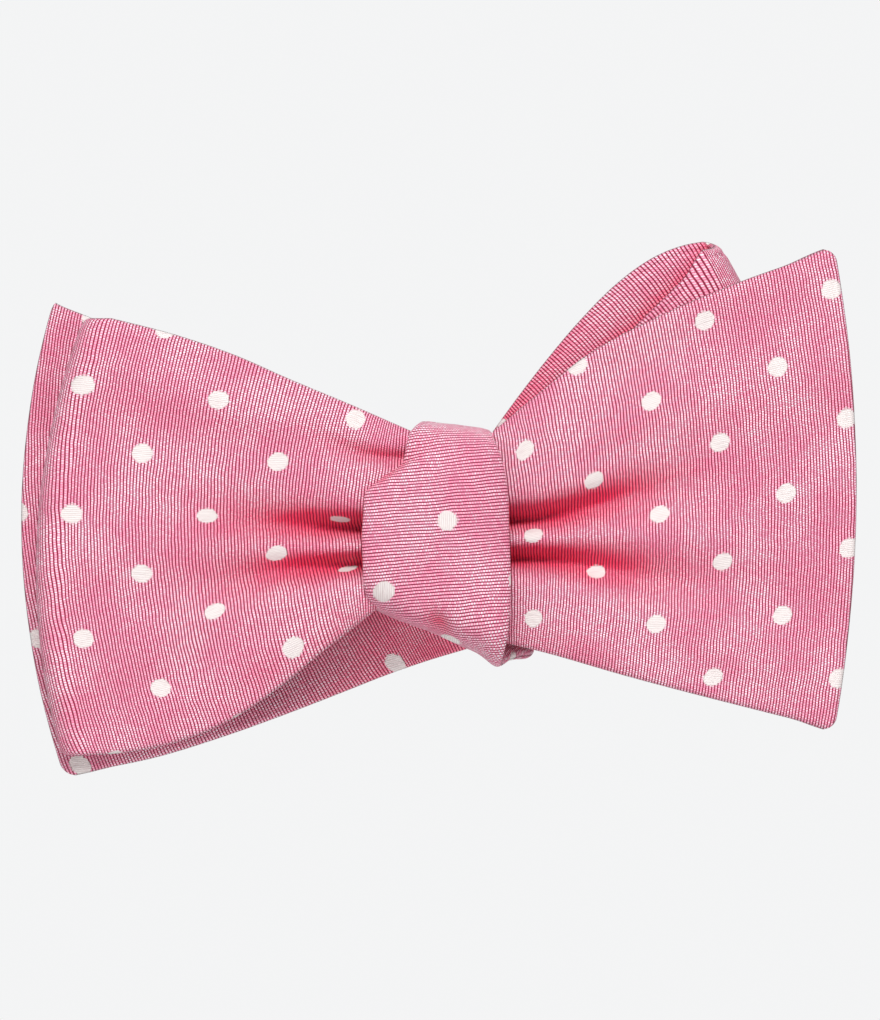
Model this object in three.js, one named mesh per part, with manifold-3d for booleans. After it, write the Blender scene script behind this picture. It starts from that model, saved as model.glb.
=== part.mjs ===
// A self-tied silk bow tie on its adjustable neckband, as it sits round a collar.
// Millimetres, +Z up, +X to the right of someone facing the wearer, who looks along -Y.
// The origin is the middle of the neck, at half the height of the band.
import * as THREE from 'three';
import Module from 'manifold-3d';
import { mergeVertices } from 'three/addons/utils/BufferGeometryUtils.js';

const wasm = await Module();
wasm.setup();

// ---- driving sizes ----
const NECK_RADIUS = 62.6;       // a 15 1/2 inch collar
const BAND_HEIGHT = 19;
const GAP = 0.3;                // between pieces that touch
const SHELL = 0.4;              // silk
const INTERLINING = 0.6;        // woven wool inside the silk
const BLADE = 2 * SHELL + INTERLINING + 2 * GAP;

const STRAP_THICKNESS = 0.8;
const STRAP_HEIGHT = 16;
const EYE_TAB_HEIGHT = 14;
const WIRE = 0.9;               // thickness of the metal bars
const RAIL_WIDTH = 1.3;         // of the metal's side rails
const RAIL_PLAY = 0.4;          // between a rail and the edge of the cloth inside it
const RETURN_RADIUS = NECK_RADIUS;
const BAR_RADIUS = RETURN_RADIUS + STRAP_THICKNESS + GAP;
const STRAP_RADIUS = BAR_RADIUS + WIRE + GAP;
const TOP_RADIUS = STRAP_RADIUS + STRAP_THICKNESS + GAP;

const BAND_END_GAP = 1.5;       // degrees from the front to each half of the band
const LEFT_BAND_END = 76;       // degrees round the neck, from the front
const RIGHT_BAND_END = 166;
const STRAP_START = 66;
const SLIDER_PLACE = 150;
const EYE_TAB_START = 158;
const CARE_LABEL = [120, 148];
const SIZE_LABEL = [104, 112];
const HOOK_BAR_X = 9;           // from the middle of the back to each fastener's cloth bar

const KNOT_FRONT = -92;
const KNOT_REAR = -65.6;
const KNOT_ROUNDNESS = 0.42;
const FRONT_BOW_Y = -83.5;
const BACK_BOW_Y = -73;
const ROOT_X = 7;               // how far from the middle each wing starts, inside the knot

// ---- colours ----
const SILK = { color: 0xe3809f, roughness: 0.5, metalness: 0 };
const INNER_SILK = { color: 0xd8708f, roughness: 0.55, metalness: 0 };
const WOOL = { color: 0xf0e9dc, roughness: 0.95, metalness: 0 };
const RIBBON = { color: 0xd9708e, roughness: 0.6, metalness: 0 };
const THREAD = { color: 0xc9597b, roughness: 0.8, metalness: 0 };
const METAL = { color: 0xc9c6c0, roughness: 0.3, metalness: 1 };
const LABEL = { color: 0xf5f1ea, roughness: 0.8, metalness: 0 };

const part = new THREE.Group();

function add(name, geometry, look) {
  const mesh = new THREE.Mesh(geometry, new THREE.MeshStandardMaterial(look));
  mesh.name = name;
  part.add(mesh);
  return mesh;
}

const mix = THREE.MathUtils.lerp;

// ---- closed solids between two sheets ----

// Area-signed volume, to turn a closed mesh's faces outward.
function signedVolume(points, faces) {
  let volume = 0;
  for (const [a, b, c] of faces) {
    volume += points[a].dot(new THREE.Vector3().crossVectors(points[b], points[c]));
  }
  return volume;
}

// A solid between near(i, j) and far(i, j), two grids of points. Rows may close on themselves.
function sheetSolid(near, far, rows, columns, closedRows = false) {
  const points = [];
  const faces = [];
  const height = closedRows ? rows : rows + 1;
  const layer = height * (columns + 1);
  for (const side of [near, far]) {
    for (let i = 0; i < height; i += 1) {
      for (let j = 0; j <= columns; j += 1) points.push(side(i / rows, j / columns));
    }
  }
  const at = (side, i, j) => side * layer + (i % height) * (columns + 1) + j;
  const quad = (a, b, c, d) => faces.push([a, b, c], [a, c, d]);
  for (let i = 0; i < rows; i += 1) {
    for (let j = 0; j < columns; j += 1) {
      quad(at(0, i, j), at(0, i, j + 1), at(0, i + 1, j + 1), at(0, i + 1, j));
      quad(at(1, i, j), at(1, i + 1, j), at(1, i + 1, j + 1), at(1, i, j + 1));
    }
    quad(at(0, i + 1, 0), at(1, i + 1, 0), at(1, i, 0), at(0, i, 0));
    quad(at(0, i, columns), at(1, i, columns), at(1, i + 1, columns), at(0, i + 1, columns));
  }
  if (!closedRows) {
    for (let j = 0; j < columns; j += 1) {
      quad(at(0, 0, j), at(1, 0, j), at(1, 0, j + 1), at(0, 0, j + 1));
      quad(at(0, rows, j + 1), at(1, rows, j + 1), at(1, rows, j), at(0, rows, j));
    }
  }
  if (signedVolume(points, faces) < 0) faces.forEach((face) => face.reverse());
  const geometry = new THREE.BufferGeometry().setFromPoints(points);
  geometry.setIndex(faces.flat());
  geometry.computeVertexNormals();
  return geometry;
}

// ---- the four wings of the bow ----
// A wing fans out from its root in the knot to its tip. Each end gives the height of its lower and
// upper corner, and where the corners are across; the bows say how far the middle of an edge bulges.
const FRONT_LOOP = {
  side: -1, root: { low: -1.5, high: 11.8 }, tip: { low: -32.8, high: 34, lowX: 57, highX: 54 },
  lowBow: -5.4, highBow: 2.6, tipBow: 5, y: FRONT_BOW_Y, tipY: -84, halfGap: 2.6, tipHalfGap: 3.6,
};
const FRONT_END = {
  side: 1, root: { low: -11, high: 11.4 }, tip: { low: -28.3, high: 44, lowX: 59.6, highX: 60 },
  lowBow: -1.6, highBow: 4.8, tipBow: 3, y: FRONT_BOW_Y, tipY: -86,
};
const BACK_END = {
  side: -1, root: { low: -1.2, high: 11.2 }, tip: { low: -35.4, high: 35.6, lowX: 57, highX: 58 },
  lowBow: -7, highBow: 1.4, tipBow: 5.6, y: BACK_BOW_Y, tipY: -71,
};
const BACK_LOOP = {
  side: 1, root: { low: -9.5, high: 9.2 }, tip: { low: -15.5, high: 45.2, lowX: 62.2, highX: 42.4 },
  lowBow: -2, highBow: 8, tipBow: 3.4, y: BACK_BOW_Y, tipY: -72, halfGap: 1.8, tipHalfGap: 4,
};
const PLEATS = 1.5;             // folds across a wing where the knot pinches it
const PLEAT_DEPTH = 1.3;
const PLEAT_REACH = 0.7;        // how far out the pleats run, as a part of the wing

// A point of a wing's middle sheet: u runs from knot to tip and v from the lower to the upper edge.
function wingPoint(wing, u, v) {
  const edgeBow = 4 * u * (1 - u);
  const low = mix(wing.root.low, wing.tip.low, u) + wing.lowBow * edgeBow;
  const high = mix(wing.root.high, wing.tip.high, u) + wing.highBow * edgeBow;
  const tipX = mix(wing.tip.lowX, wing.tip.highX, v) + wing.tipBow * 4 * v * (1 - v);
  const fade = Math.max(0, 1 - u / PLEAT_REACH) ** 2;
  const pleat = PLEAT_DEPTH * fade * Math.cos(2 * Math.PI * PLEATS * v);
  return new THREE.Vector3(
    mix(ROOT_X, tipX, u), mix(wing.y, wing.tipY, u) + pleat, mix(low, high, v));
}

// A flat sewn end, moved by offset through its thickness.
function endPoint(wing, u, v, offset) {
  const point = wingPoint(wing, u, v);
  return new THREE.Vector3(wing.side * point.x, point.y + offset, point.z);
}

// A loop: out along its front, round the fold at the tip and home along its back.
const FOLD_SHARE = 0.24;
function loopPoint(wing, s, v, offset) {
  const straight = (1 - FOLD_SHARE) / 2;
  const tipRadius = wing.tipHalfGap + offset;
  const foldStart = wingPoint(wing, 1, v);
  foldStart.x -= wing.tipHalfGap;
  if (s > straight && s < 1 - straight) {
    const turn = Math.PI * (s - straight) / FOLD_SHARE;
    return new THREE.Vector3(
      wing.side * (foldStart.x + tipRadius * Math.sin(turn)),
      foldStart.y - tipRadius * Math.cos(turn), foldStart.z);
  }
  const front = s <= straight;
  const u = front ? s / straight : (1 - s) / straight;
  const point = wingPoint(wing, u, v);
  const half = mix(wing.halfGap, wing.tipHalfGap, Math.sqrt(u)) + offset;
  const x = point.x - wing.tipHalfGap * u;
  return new THREE.Vector3(wing.side * x, point.y + (front ? -half : half), point.z);
}

const SHELL_IN = INTERLINING / 2 + GAP;
const LAYERS = [
  ['outer_shell', -SHELL_IN - SHELL, -SHELL_IN, SILK],
  ['interlining', -INTERLINING / 2, INTERLINING / 2, WOOL],
  ['inner_shell', SHELL_IN, SHELL_IN + SHELL, INNER_SILK],
];

function addWing(name, wing) {
  const folded = wing.halfGap !== undefined;
  for (const [layer, near, far, look] of LAYERS) {
    const sheet = (offset) => (folded
      ? (s, v) => loopPoint(wing, s, v, -offset)
      : (u, v) => endPoint(wing, u, v, offset));
    const steps = folded ? 16 : 7;
    add(`${name}_${layer}`, sheetSolid(sheet(near), sheet(far), steps, 6), look);
  }
}

addWing('front_loop', FRONT_LOOP);
addWing('front_end', FRONT_END);
addWing('back_end', BACK_END);
addWing('back_loop', BACK_LOOP);

// ---- the knot ----
// The wrap goes round the pinched bows as a sleeve, and its two open sides face the wings.
const KNOT_LEFT = [[-10.8, -6.6], [-8.4, -10.8], [-4, -11.4], [6, -11.5], [11, -8.6], [17, -3]];
const KNOT_RIGHT = [[-20, 9.2], [-6, 10.4], [4, 10.4], [17, 7.8]];
const KNOT_TOP = [17.9, 16.1];      // at its left and its right side
const KNOT_BOTTOM = [-10.8, -19.4];

// The x of a side at a height, by straight runs between its corners.
function sideAt(side, z) {
  const last = side.length - 1;
  const k = Math.max(1, Math.min(last, side.findIndex(([height]) => height > z)));
  const next = z >= side[last][0] ? last : k;
  const [z0, x0] = side[next - 1];
  const [z1, x1] = side[next];
  return mix(x0, x1, THREE.MathUtils.clamp((z - z0) / (z1 - z0), 0, 1));
}

function knotPoint(turnShare, across, inset) {
  const turn = 2 * Math.PI * turnShare;
  const round = (value) => Math.sign(value) * Math.abs(value) ** KNOT_ROUNDNESS;
  const top = mix(...KNOT_TOP, across) - inset;
  const bottom = mix(...KNOT_BOTTOM, across) + inset;
  const z = mix(bottom, top, (1 + round(Math.sin(turn))) / 2);
  const y = mix(KNOT_REAR - inset, KNOT_FRONT + inset, (1 + round(Math.cos(turn))) / 2);
  return new THREE.Vector3(mix(sideAt(KNOT_LEFT, z), sideAt(KNOT_RIGHT, z), across), y, z);
}

function addKnotWrap() {
  for (const [layer, near, far, look] of LAYERS) {
    const ring = (offset) => (turn, across) => knotPoint(turn, across, offset + BLADE / 2);
    add(`knot_wrap_${layer}`, sheetSolid(ring(near), ring(far), 20, 2, true), look);
  }
}
addKnotWrap();

// The blade pinched into pleats where the wrap grips it, as a zigzag strip run from side to side.
const PINCH_HALF_WIDTH = ROOT_X - 1.4;
const PINCH_FOLDS = 6;
const PINCH_DEPTH = 5;
const PINCH_THICKNESS = 3.5;    // along y, which is a blade's thickness across the slope of a fold
const PINCH_LOW = -8.2;
const PINCH_HIGH = 12.5;
function addPinch(name, y) {
  const near = [];
  const far = [];
  for (let fold = 0; fold <= PINCH_FOLDS; fold += 1) {
    const z = mix(PINCH_LOW, PINCH_HIGH, fold / PINCH_FOLDS);
    const middle = y + (fold % 2 === 0 ? -0.5 : 0.5) * PINCH_DEPTH;
    near.push(new THREE.Vector2(middle - PINCH_THICKNESS / 2, z));
    far.unshift(new THREE.Vector2(middle + PINCH_THICKNESS / 2, z));
  }
  const strip = new THREE.Shape([...near, ...far]);
  const geometry = new THREE.ExtrudeGeometry(strip, {
    depth: 2 * PINCH_HALF_WIDTH, bevelEnabled: false });
  // The outline is drawn in (y, z) and pushed out along x.
  const toWorld = new THREE.Matrix4().set(
    0, 0, 1, -PINCH_HALF_WIDTH, 1, 0, 0, 0, 0, 1, 0, 0, 0, 0, 0, 1);
  geometry.applyMatrix4(toWorld);
  add(name, geometry, INNER_SILK);
}
addPinch('front_pinch', FRONT_BOW_Y);
addPinch('back_pinch', BACK_BOW_Y);

// ---- the neckband ----
// Degrees are counted round the neck from the front, and sideways: +1 is the right, -1 the left.
function neckAngle(degrees, side) {
  return THREE.MathUtils.degToRad(-90 + side * degrees);
}

function upright(shape, height, curveSegments = 26) {
  const geometry = new THREE.ExtrudeGeometry(shape, {
    depth: height, bevelEnabled: false, curveSegments });
  return geometry.translate(0, 0, -height / 2);
}

// A strip of cloth on edge round the neck, from one angle to another.
function neckStrip(radius, thickness, from, to, side, height, steps = 26) {
  const shape = new THREE.Shape();
  const [a, b] = [neckAngle(from, side), neckAngle(to, side)];
  shape.absarc(0, 0, radius + thickness, a, b, side < 0);
  shape.absarc(0, 0, radius, b, a, side > 0);
  return upright(shape, height, steps);
}

function addBandHalf(name, to, side, steps) {
  const layers = [
    ['inner_shell', 0, SHELL, INNER_SILK],
    ['interlining', SHELL + GAP, INTERLINING, WOOL],
    ['outer_shell', SHELL + 2 * GAP + INTERLINING, SHELL, SILK],
  ];
  for (const [layer, out, thickness, look] of layers) {
    const strip = neckStrip(
      NECK_RADIUS + out, thickness, BAND_END_GAP, to, side, BAND_HEIGHT, steps);
    add(`${name}_${layer}`, strip, look);
  }
}
addBandHalf('left_band', LEFT_BAND_END, -1, 9);
addBandHalf('right_band', RIGHT_BAND_END, 1, 18);

// ---- the adjuster at the back ----
const FOLD_CENTRE_RADIUS = (RETURN_RADIUS + STRAP_RADIUS + STRAP_THICKNESS) / 2;
const FOLD_OUT = (STRAP_RADIUS + STRAP_THICKNESS - RETURN_RADIUS) / 2;
const FOLD_IN = FOLD_OUT - STRAP_THICKNESS;
const FASTENER_Y = Math.sqrt(FOLD_CENTRE_RADIUS ** 2 - HOOK_BAR_X ** 2);

// Cloth round a fastener's bar: an outer leg along the neck, the fold, and a short inner leg.
function foldedStrip(side, outerFrom, innerLength, height, steps) {
  const shape = new THREE.Shape();
  const barX = side * HOOK_BAR_X;
  const atBar = (radius) => Math.PI / 2 - side * Math.asin(HOOK_BAR_X / radius);
  const outer = STRAP_RADIUS + STRAP_THICKNESS;
  const start = neckAngle(outerFrom, side) + (side < 0 ? 2 * Math.PI : 0);
  const clockwise = side < 0;
  shape.absarc(0, 0, outer, start, atBar(outer), clockwise);
  shape.absarc(barX, FASTENER_Y, FOLD_OUT, Math.PI / 2, -Math.PI / 2, clockwise);
  shape.lineTo(barX + side * innerLength, FASTENER_Y - FOLD_OUT);
  shape.lineTo(barX + side * innerLength, FASTENER_Y - FOLD_IN);
  shape.absarc(barX, FASTENER_Y, FOLD_IN, -Math.PI / 2, Math.PI / 2, !clockwise);
  shape.absarc(0, 0, STRAP_RADIUS, atBar(STRAP_RADIUS), start, !clockwise);
  return upright(shape, height, steps);
}

const STRAP_TURN_IN = 0.6;      // straight cloth past the fold, before the return run
const TAB_TURN_IN = 3;
add('adjuster_strap', foldedStrip(-1, STRAP_START, STRAP_TURN_IN, STRAP_HEIGHT, 12), RIBBON);
add('eye_tab', foldedStrip(1, EYE_TAB_START, TAB_TURN_IN, EYE_TAB_HEIGHT, 6), SILK);

// The end of the strap comes home inside it, from the hook to the slider that it is sewn to.
const RETURN_START = SLIDER_PLACE + 1.1;
const RETURN_END = 170.8;
add('strap_return_run', neckStrip(
  RETURN_RADIUS, STRAP_THICKNESS, RETURN_START, RETURN_END, -1, STRAP_HEIGHT, 6), RIBBON);

// ---- metal ----
function solidOf(geometry) {
  const bare = geometry.clone();
  bare.deleteAttribute('normal');
  bare.deleteAttribute('uv');
  const merged = mergeVertices(bare, 1e-4);
  return new wasm.Manifold(new wasm.Mesh({
    numProp: 3,
    vertProperties: new Float32Array(merged.attributes.position.array),
    triVerts: new Uint32Array(merged.index.array),
  }));
}

function geometryOf(solid) {
  const { numProp, vertProperties, triVerts } = solid.getMesh();
  const geometry = new THREE.BufferGeometry();
  const positions = new THREE.BufferAttribute(Float32Array.from(vertProperties), numProp);
  geometry.setAttribute('position', positions);
  geometry.setIndex(Array.from(triVerts));
  return geometry;
}

// A block from its two corners: x along the neck, y out from it, z up.
function block([x0, x1], [y0, y1], [z0, z1]) {
  const box = new THREE.BoxGeometry(x1 - x0, y1 - y0, z1 - z0);
  return solidOf(box.translate((x0 + x1) / 2, (y0 + y1) / 2, (z0 + z1) / 2));
}

function joined(blocks) {
  return geometryOf(blocks.reduce((whole, next) => whole.add(next)));
}

// The slider: its end bars lie outside the strap and its middle bar inside it.
const SLIDER_HALF_LENGTH = 6.6;
const SLIDER_BAR = 1.4;
const RAIL_IN = STRAP_HEIGHT / 2 + RAIL_PLAY;
const RAIL_OUT = RAIL_IN + RAIL_WIDTH;
function addSlider() {
  const across = [-RAIL_OUT, RAIL_OUT];
  const top = [TOP_RADIUS, TOP_RADIUS + WIRE];
  const bars = [
    block([-SLIDER_HALF_LENGTH, -SLIDER_HALF_LENGTH + SLIDER_BAR], top, across),
    block([SLIDER_HALF_LENGTH - SLIDER_BAR, SLIDER_HALF_LENGTH], top, across),
    block([-SLIDER_BAR / 2, SLIDER_BAR / 2], [BAR_RADIUS, BAR_RADIUS + WIRE], across),
  ];
  const rails = [1, -1].map((up) => {
    const heights = [up * RAIL_IN, up * RAIL_OUT].sort((a, b) => a - b);
    return block([-SLIDER_HALF_LENGTH, SLIDER_HALF_LENGTH], [BAR_RADIUS, top[1]], heights);
  });
  const slider = add('slider', joined([...bars, ...rails]), METAL);
  slider.rotation.z = THREE.MathUtils.degToRad(180 - SLIDER_PLACE);
}
addSlider();

// The hook: a frame for the strap, and a tongue that drops behind the bar of the eye.
const BAR_HALF = 0.4;            // of a bar that cloth goes round
const HOOK_BRIDGE = [-5, -3.6];
const TONGUE_HALF_HEIGHT = 4;
const LEG = [0.9, 1.9];
const LEG_FOOT = RETURN_RADIUS + 0.1;
const TONGUE_LOW = FASTENER_Y + WIRE / 2 + GAP;
function addHook() {
  const low = FASTENER_Y - WIRE / 2;
  const bar = [-HOOK_BAR_X - BAR_HALF, -HOOK_BAR_X + BAR_HALF];
  const across = [-RAIL_OUT, RAIL_OUT];
  const tongue = [TONGUE_LOW, TONGUE_LOW + WIRE];
  const rails = [1, -1].map((up) => {
    const heights = [up * RAIL_IN, up * RAIL_OUT].sort((a, b) => a - b);
    return block([bar[0], HOOK_BRIDGE[1]], [low, tongue[1]], heights);
  });
  const pieces = [
    block(bar, [low, low + WIRE], across),
    ...rails,
    block(HOOK_BRIDGE, tongue, across),
    block([HOOK_BRIDGE[0], LEG[1]], tongue, [-TONGUE_HALF_HEIGHT, TONGUE_HALF_HEIGHT]),
    block(LEG, [LEG_FOOT, tongue[1]], [-TONGUE_HALF_HEIGHT, TONGUE_HALF_HEIGHT]),
  ];
  add('hook', joined(pieces), METAL);
}

// The eye: a plain rectangular ring, held by its far bar.
const CATCH = [-0.8, 0.4];       // the bar that the hook holds
function addEye() {
  const thick = [FASTENER_Y - WIRE / 2, FASTENER_Y + WIRE / 2];
  const bar = [HOOK_BAR_X - BAR_HALF, HOOK_BAR_X + BAR_HALF];
  const inside = EYE_TAB_HEIGHT / 2 + RAIL_PLAY;
  const outside = inside + RAIL_WIDTH;
  const across = [-outside, outside];
  const rails = [1, -1].map((up) => {
    const heights = [up * inside, up * outside].sort((a, b) => a - b);
    return block([CATCH[0], bar[1]], thick, heights);
  });
  add('eye', joined([block(CATCH, thick, across), block(bar, thick, across), ...rails]), METAL);
}
addHook();
addEye();

// ---- stitching and labels ----
const TACK_HEIGHT = 12;
const TACK_WIDTH = 1;           // degrees
function addTack(name, degrees, side) {
  const tack = neckStrip(TOP_RADIUS, SHELL, degrees, degrees + TACK_WIDTH, side, TACK_HEIGHT, 1);
  add(name, tack, THREAD);
}
addTack('strap_tack', STRAP_START + 2, -1);
addTack('strap_end_tack', LEFT_BAND_END - 2, -1);
addTack('eye_tab_tack', EYE_TAB_START + 2, 1);

const LABEL_RADIUS = NECK_RADIUS - GAP - SHELL;
const CARE_LABEL_HEIGHT = 12;
const SIZE_LABEL_HEIGHT = 10;
function addLabel(name, [from, to], height, steps) {
  add(name, neckStrip(LABEL_RADIUS, SHELL, from, to, 1, height, steps), LABEL);
}
addLabel('care_label', CARE_LABEL, CARE_LABEL_HEIGHT, 8);
addLabel('size_label', SIZE_LABEL, SIZE_LABEL_HEIGHT, 3);

export default part;
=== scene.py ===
"""A self-tied silk bow tie on its neckband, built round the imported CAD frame.

Lengths below are in millimetres, in the frame's axes: x to the viewer's right, -y toward the viewer,
z up. They are turned into metres when a mesh is made. Only lights, the floor and bumps are in metres.
"""
import math
import bmesh
import bpy
import numpy as np
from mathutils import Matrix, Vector


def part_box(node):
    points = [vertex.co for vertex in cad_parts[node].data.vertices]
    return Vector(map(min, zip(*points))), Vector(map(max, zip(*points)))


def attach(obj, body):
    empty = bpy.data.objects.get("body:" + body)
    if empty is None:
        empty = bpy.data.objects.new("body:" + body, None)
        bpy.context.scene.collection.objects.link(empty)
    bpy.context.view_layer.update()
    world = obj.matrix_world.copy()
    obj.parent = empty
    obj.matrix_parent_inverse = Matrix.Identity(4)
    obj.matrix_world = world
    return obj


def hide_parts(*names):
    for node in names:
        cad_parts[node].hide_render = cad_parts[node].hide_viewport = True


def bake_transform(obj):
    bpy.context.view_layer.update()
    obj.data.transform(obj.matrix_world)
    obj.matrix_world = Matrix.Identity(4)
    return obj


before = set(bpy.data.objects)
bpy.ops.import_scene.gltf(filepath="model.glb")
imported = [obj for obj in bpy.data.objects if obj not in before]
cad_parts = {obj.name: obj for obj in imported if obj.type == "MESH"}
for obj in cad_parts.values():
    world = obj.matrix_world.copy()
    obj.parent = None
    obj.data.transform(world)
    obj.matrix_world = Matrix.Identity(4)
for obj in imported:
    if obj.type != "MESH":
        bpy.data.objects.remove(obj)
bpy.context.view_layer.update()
MM = 0.001


def box_mm(node):
    """A CAD node's lowest and highest corners, in millimetres."""
    return [np.array(corner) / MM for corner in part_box(node)]


# ---- sizes taken from the frame ----
FRONT_Y = float(np.mean([corner[1] for corner in box_mm("front_pinch")]))
BACK_Y = float(np.mean([corner[1] for corner in box_mm("back_pinch")]))
ROOT_X = float(box_mm("front_end_outer_shell")[0][0])
KNOT_FRONT = float(box_mm("knot_wrap_outer_shell")[0][1])
KNOT_REAR = float(box_mm("knot_wrap_outer_shell")[1][1])
BAND_TOP = float(box_mm("right_band_outer_shell")[1][2])
BAND_OUT = float(box_mm("right_band_outer_shell")[1][0])
STRAP_OUT = -float(box_mm("adjuster_strap")[0][0])
HOOK_OUT = -float(box_mm("hook")[0][0])

# ---- blades ----
HALF = 1.0              # half a blade's thickness: silk, interlining, silk
SILK = 0.4
WOOL_HALF = 0.3
EDGE_ROUND = 1.3        # how far from a sewn edge the blade reaches its full thickness
SEAM_PLACE = 1.1        # from a sewn edge to the groove of its stitches
SEAM_WIDTH = 0.3
SEAM_GROOVE = 0.16      # as a share of half the thickness
OPEN_SEAM_GROOVE = 0.5  # the same where the back loop gapes and pulls on its stitches
STITCH_PITCH = 1.9
STITCH_MEAN = 0.65      # the groove's mean depth, as a share of its depth at a stitch
BEND_LENGTH = 9         # how far out from a wing's root its second bend point lies; the bend points are not used
WELD = 0.002            # points of a mesh that are nearer than this are joined
CROWDING = 0.75         # how strongly points crowd toward a sheet's edges: 0 for even steps

# ---- cloth simulation ----
SETTLE_SCALE = 0.02     # a millimetre in the simulation, which works on a larger cloth
SETTLE_FRAMES = 16
SETTLE_SMOOTHING = 4
SETTLE_CAP = 1.5        # a point moves less than this

# ---- silk ----
RIB_PITCH = 0.47        # the weave's ribs, which run across the blade
THREAD_PITCH = 0.38     # the threads that cross them
DOT_PITCH = 19.5        # from one dot to the next in its own row; rows are staggered
DOT_RADIUS = 1.5
DOT_THREAD = 0.30       # the dots' satin threads
DOT_RAGGED = 0.22       # how far a dot's edge steps in and out from thread to thread
DOT_EDGE = 0.09
RIB_WANDER = 0.5        # how far a rib strays
WEAVE_BUMP = 0.00012    # height of the ribs, in metres
RIBBON_RIB = 0.62
RIBBON_THREAD = 0.22
GAP_PINK = (0.26, 0.004, 0.035, 1)
RIB_PINK = (0.92, 0.200, 0.370, 1)
# the painted highlight of a thread that catches the light
GLINT_PINK = (1.0, 0.84, 0.92, 1)
# painted shade and bounced red light deep in a fold
FOLD_SHADE_RED = (1.0, 0.026, 0.105, 1)
IVORY = (0.86, 0.80, 0.78, 1)
IVORY_SHADE = (0.66, 0.53, 0.53, 1)
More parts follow.
